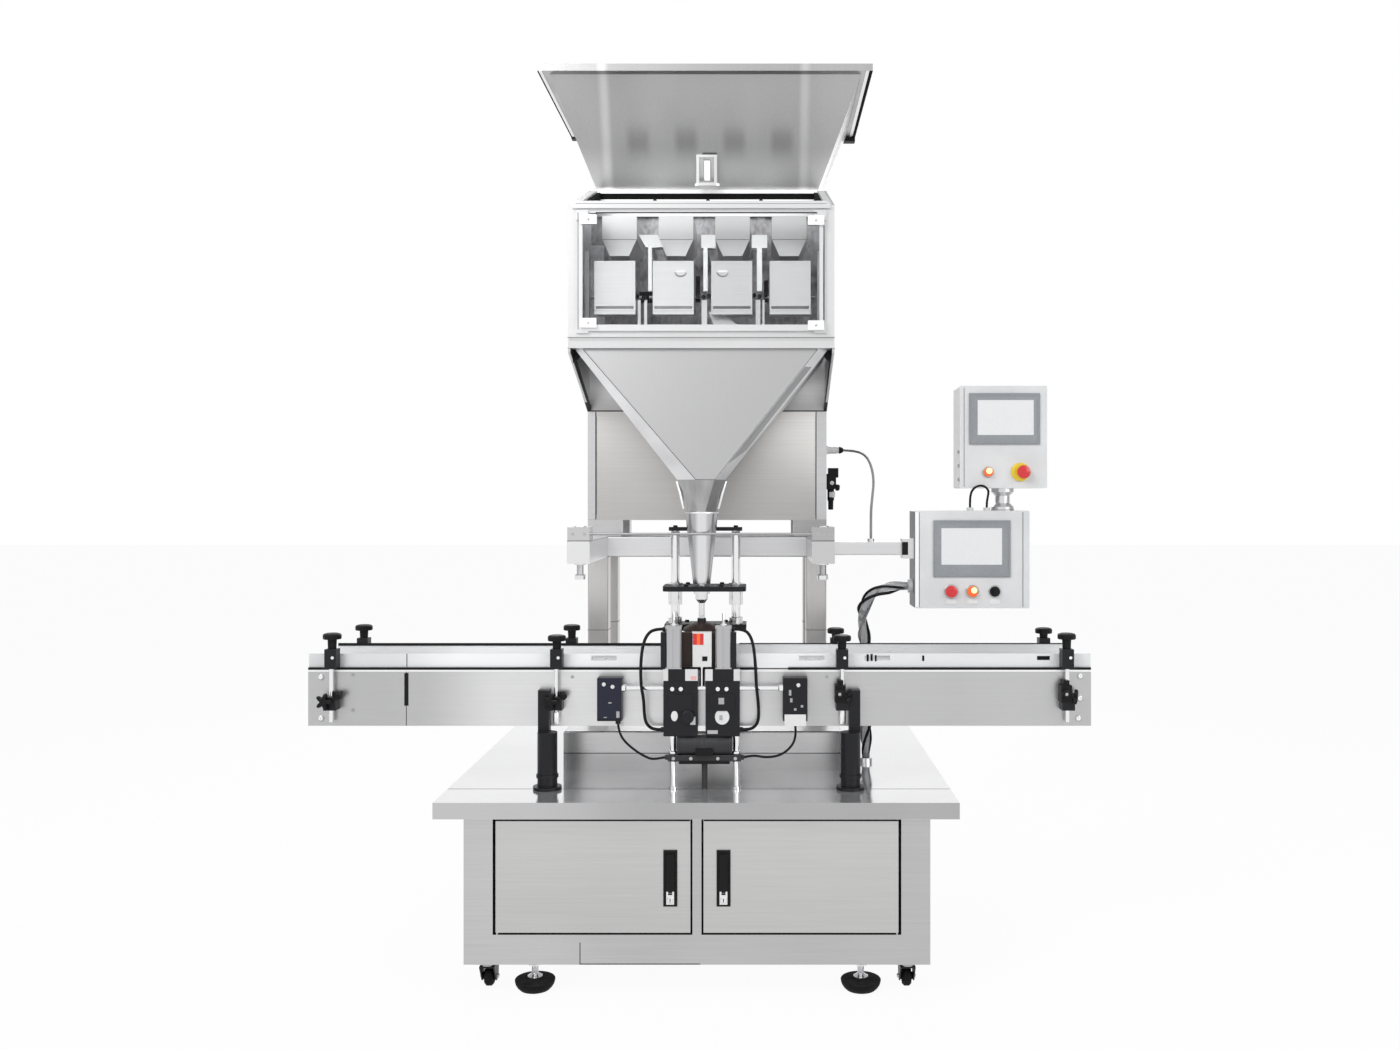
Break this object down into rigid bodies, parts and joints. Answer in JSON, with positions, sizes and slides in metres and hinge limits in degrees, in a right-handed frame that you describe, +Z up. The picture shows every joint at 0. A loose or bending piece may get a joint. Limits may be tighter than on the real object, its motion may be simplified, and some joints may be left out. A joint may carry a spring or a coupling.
{
  "type": "granule filling machine",
  "caption": "Linear weigher with storage hopper and funnel on a stand, over a slat chain conveyor and a cabinet table, with control boxes on an arm.",
  "frame": {"origin": "on the floor under the middle of the machine's box", "axes": "+X to the right along the conveyor, +Y to the rear, +Z up"},
  "size_m": [2, 1.17, 2.44],
  "materials": {
    "brushed_steel": "fine straight grain",
    "polished_steel": "polished",
    "chrome": "bright chrome",
    "black_plastic": "moulded black",
    "black_metal": "black coated",
    "black_rubber": "worn tread",
    "zinc_steel": "zinc plated",
    "grey_metal": "light grey anodised",
    "clear_acrylic": "clear sheet",
    "screen_black": "dark grey bezel",
    "button_red": "gloss",
    "white_plastic": "moulded white and black",
    "painted_box": "fine brushed",
    "cable_black": "smooth jacket"
  },
  "bodies": {
    "root": {"bucket_hangers": "brushed_steel", "cabinet_front": "brushed_steel", "cabinet_shell": "brushed_steel", "clamp_knobs": "black_plastic", "control_arm": "brushed_steel", "control_boxes": "painted_box", "control_buttons": "button_red", "control_screens": "screen_black", "conveyor_posts": "black_metal", "conveyor_side_plates": "brushed_steel", "cross_members": "brushed_steel", "end_sprockets": "zinc_steel", "feeder_pans": "brushed_steel", "fill_plates": "black_metal", "front_window": "clear_acrylic", "funnel": "polished_steel", "funnel_outlet": "polished_steel", "gate_handle": "brushed_steel", "guard_sheets": "brushed_steel", "guide_clamps": "black_plastic", "guide_rods": "chrome", "hopper_bin": "polished_steel", "left_air_hose": "cable_black", "left_block_cable": "cable_black", "levelling_feet": "black_metal", "link_cable": "cable_black", "panel_hose": "cable_black", "plinth": "brushed_steel", "right_air_hose": "cable_black", "right_block_cable": "cable_black", "sensor_cable": "cable_black", "side_fittings": "white_plastic", "slat_chain": "brushed_steel", "stand_beams": "brushed_steel", "stand_legs": "brushed_steel", "stand_pads": "brushed_steel", "stop_units": "grey_metal", "table_top": "polished_steel", "vibrator": "black_metal", "weigh_buckets": "brushed_steel", "weigher_base": "brushed_steel", "weigher_cabinet": "brushed_steel", "weigher_floor": "brushed_steel", "weigher_housing": "brushed_steel", "weigher_side_walls": "brushed_steel", "window_frame": "brushed_steel"},
    "left_door": {"left_door": "brushed_steel", "left_door_handle": "black_plastic"},
    "right_door": {"right_door": "brushed_steel", "right_door_handle": "black_plastic"},
    "fill_slide": {"slide_plate": "black_metal", "fill_nozzle": "brushed_steel"},
    "fork_front_left": {"caster_fork_front_left": "zinc_steel"},
    "wheel_front_left": {"caster_wheel_front_left": "black_rubber"},
    "fork_front_right": {"caster_fork_front_right": "zinc_steel"},
    "wheel_front_right": {"caster_wheel_front_right": "black_rubber"},
    "fork_rear_left": {"caster_fork_rear_left": "zinc_steel"},
    "wheel_rear_left": {"caster_wheel_rear_left": "black_rubber"},
    "fork_rear_right": {"caster_fork_rear_right": "zinc_steel"},
    "wheel_rear_right": {"caster_wheel_rear_right": "black_rubber"}
  },
  "joints": [
    {"name": "left_door_hinge", "type": "hinge", "parent": "root", "child": "left_door", "pos_m": [-0.489, -0.54, 0.294], "axis": [0, 0, -1], "range_deg": [0, 110]},
    {"name": "right_door_hinge", "type": "hinge", "parent": "root", "child": "right_door", "pos_m": [0.489, -0.54, 0.294], "axis": [0, 0, 1], "range_deg": [0, 110]},
    {"name": "nozzle_lift", "type": "slide", "parent": "root", "child": "fill_slide", "axis": [0, 0, -1], "range_m": [0, 0.025]},
    {"name": "swivel_front_left", "type": "hinge", "parent": "root", "child": "fork_front_left", "pos_m": [-0.518, -0.505, 0.07], "axis": [0, 0, 1], "continuous": true},
    {"name": "roll_front_left", "type": "hinge", "parent": "fork_front_left", "child": "wheel_front_left", "pos_m": [-0.518, -0.487, 0.03], "axis": [1, 0, 0], "continuous": true},
    {"name": "swivel_front_right", "type": "hinge", "parent": "root", "child": "fork_front_right", "pos_m": [0.518, -0.505, 0.07], "axis": [0, 0, 1], "continuous": true},
    {"name": "roll_front_right", "type": "hinge", "parent": "fork_front_right", "child": "wheel_front_right", "pos_m": [0.518, -0.487, 0.03], "axis": [1, 0, 0], "continuous": true},
    {"name": "swivel_rear_left", "type": "hinge", "parent": "root", "child": "fork_rear_left", "pos_m": [-0.518, 0.435, 0.07], "axis": [0, 0, 1], "continuous": true},
    {"name": "roll_rear_left", "type": "hinge", "parent": "fork_rear_left", "child": "wheel_rear_left", "pos_m": [-0.518, 0.453, 0.03], "axis": [1, 0, 0], "continuous": true},
    {"name": "swivel_rear_right", "type": "hinge", "parent": "root", "child": "fork_rear_right", "pos_m": [0.518, 0.435, 0.07], "axis": [0, 0, 1], "continuous": true},
    {"name": "roll_rear_right", "type": "hinge", "parent": "fork_rear_right", "child": "wheel_rear_right", "pos_m": [0.518, 0.453, 0.03], "axis": [1, 0, 0], "continuous": true}
  ]
}
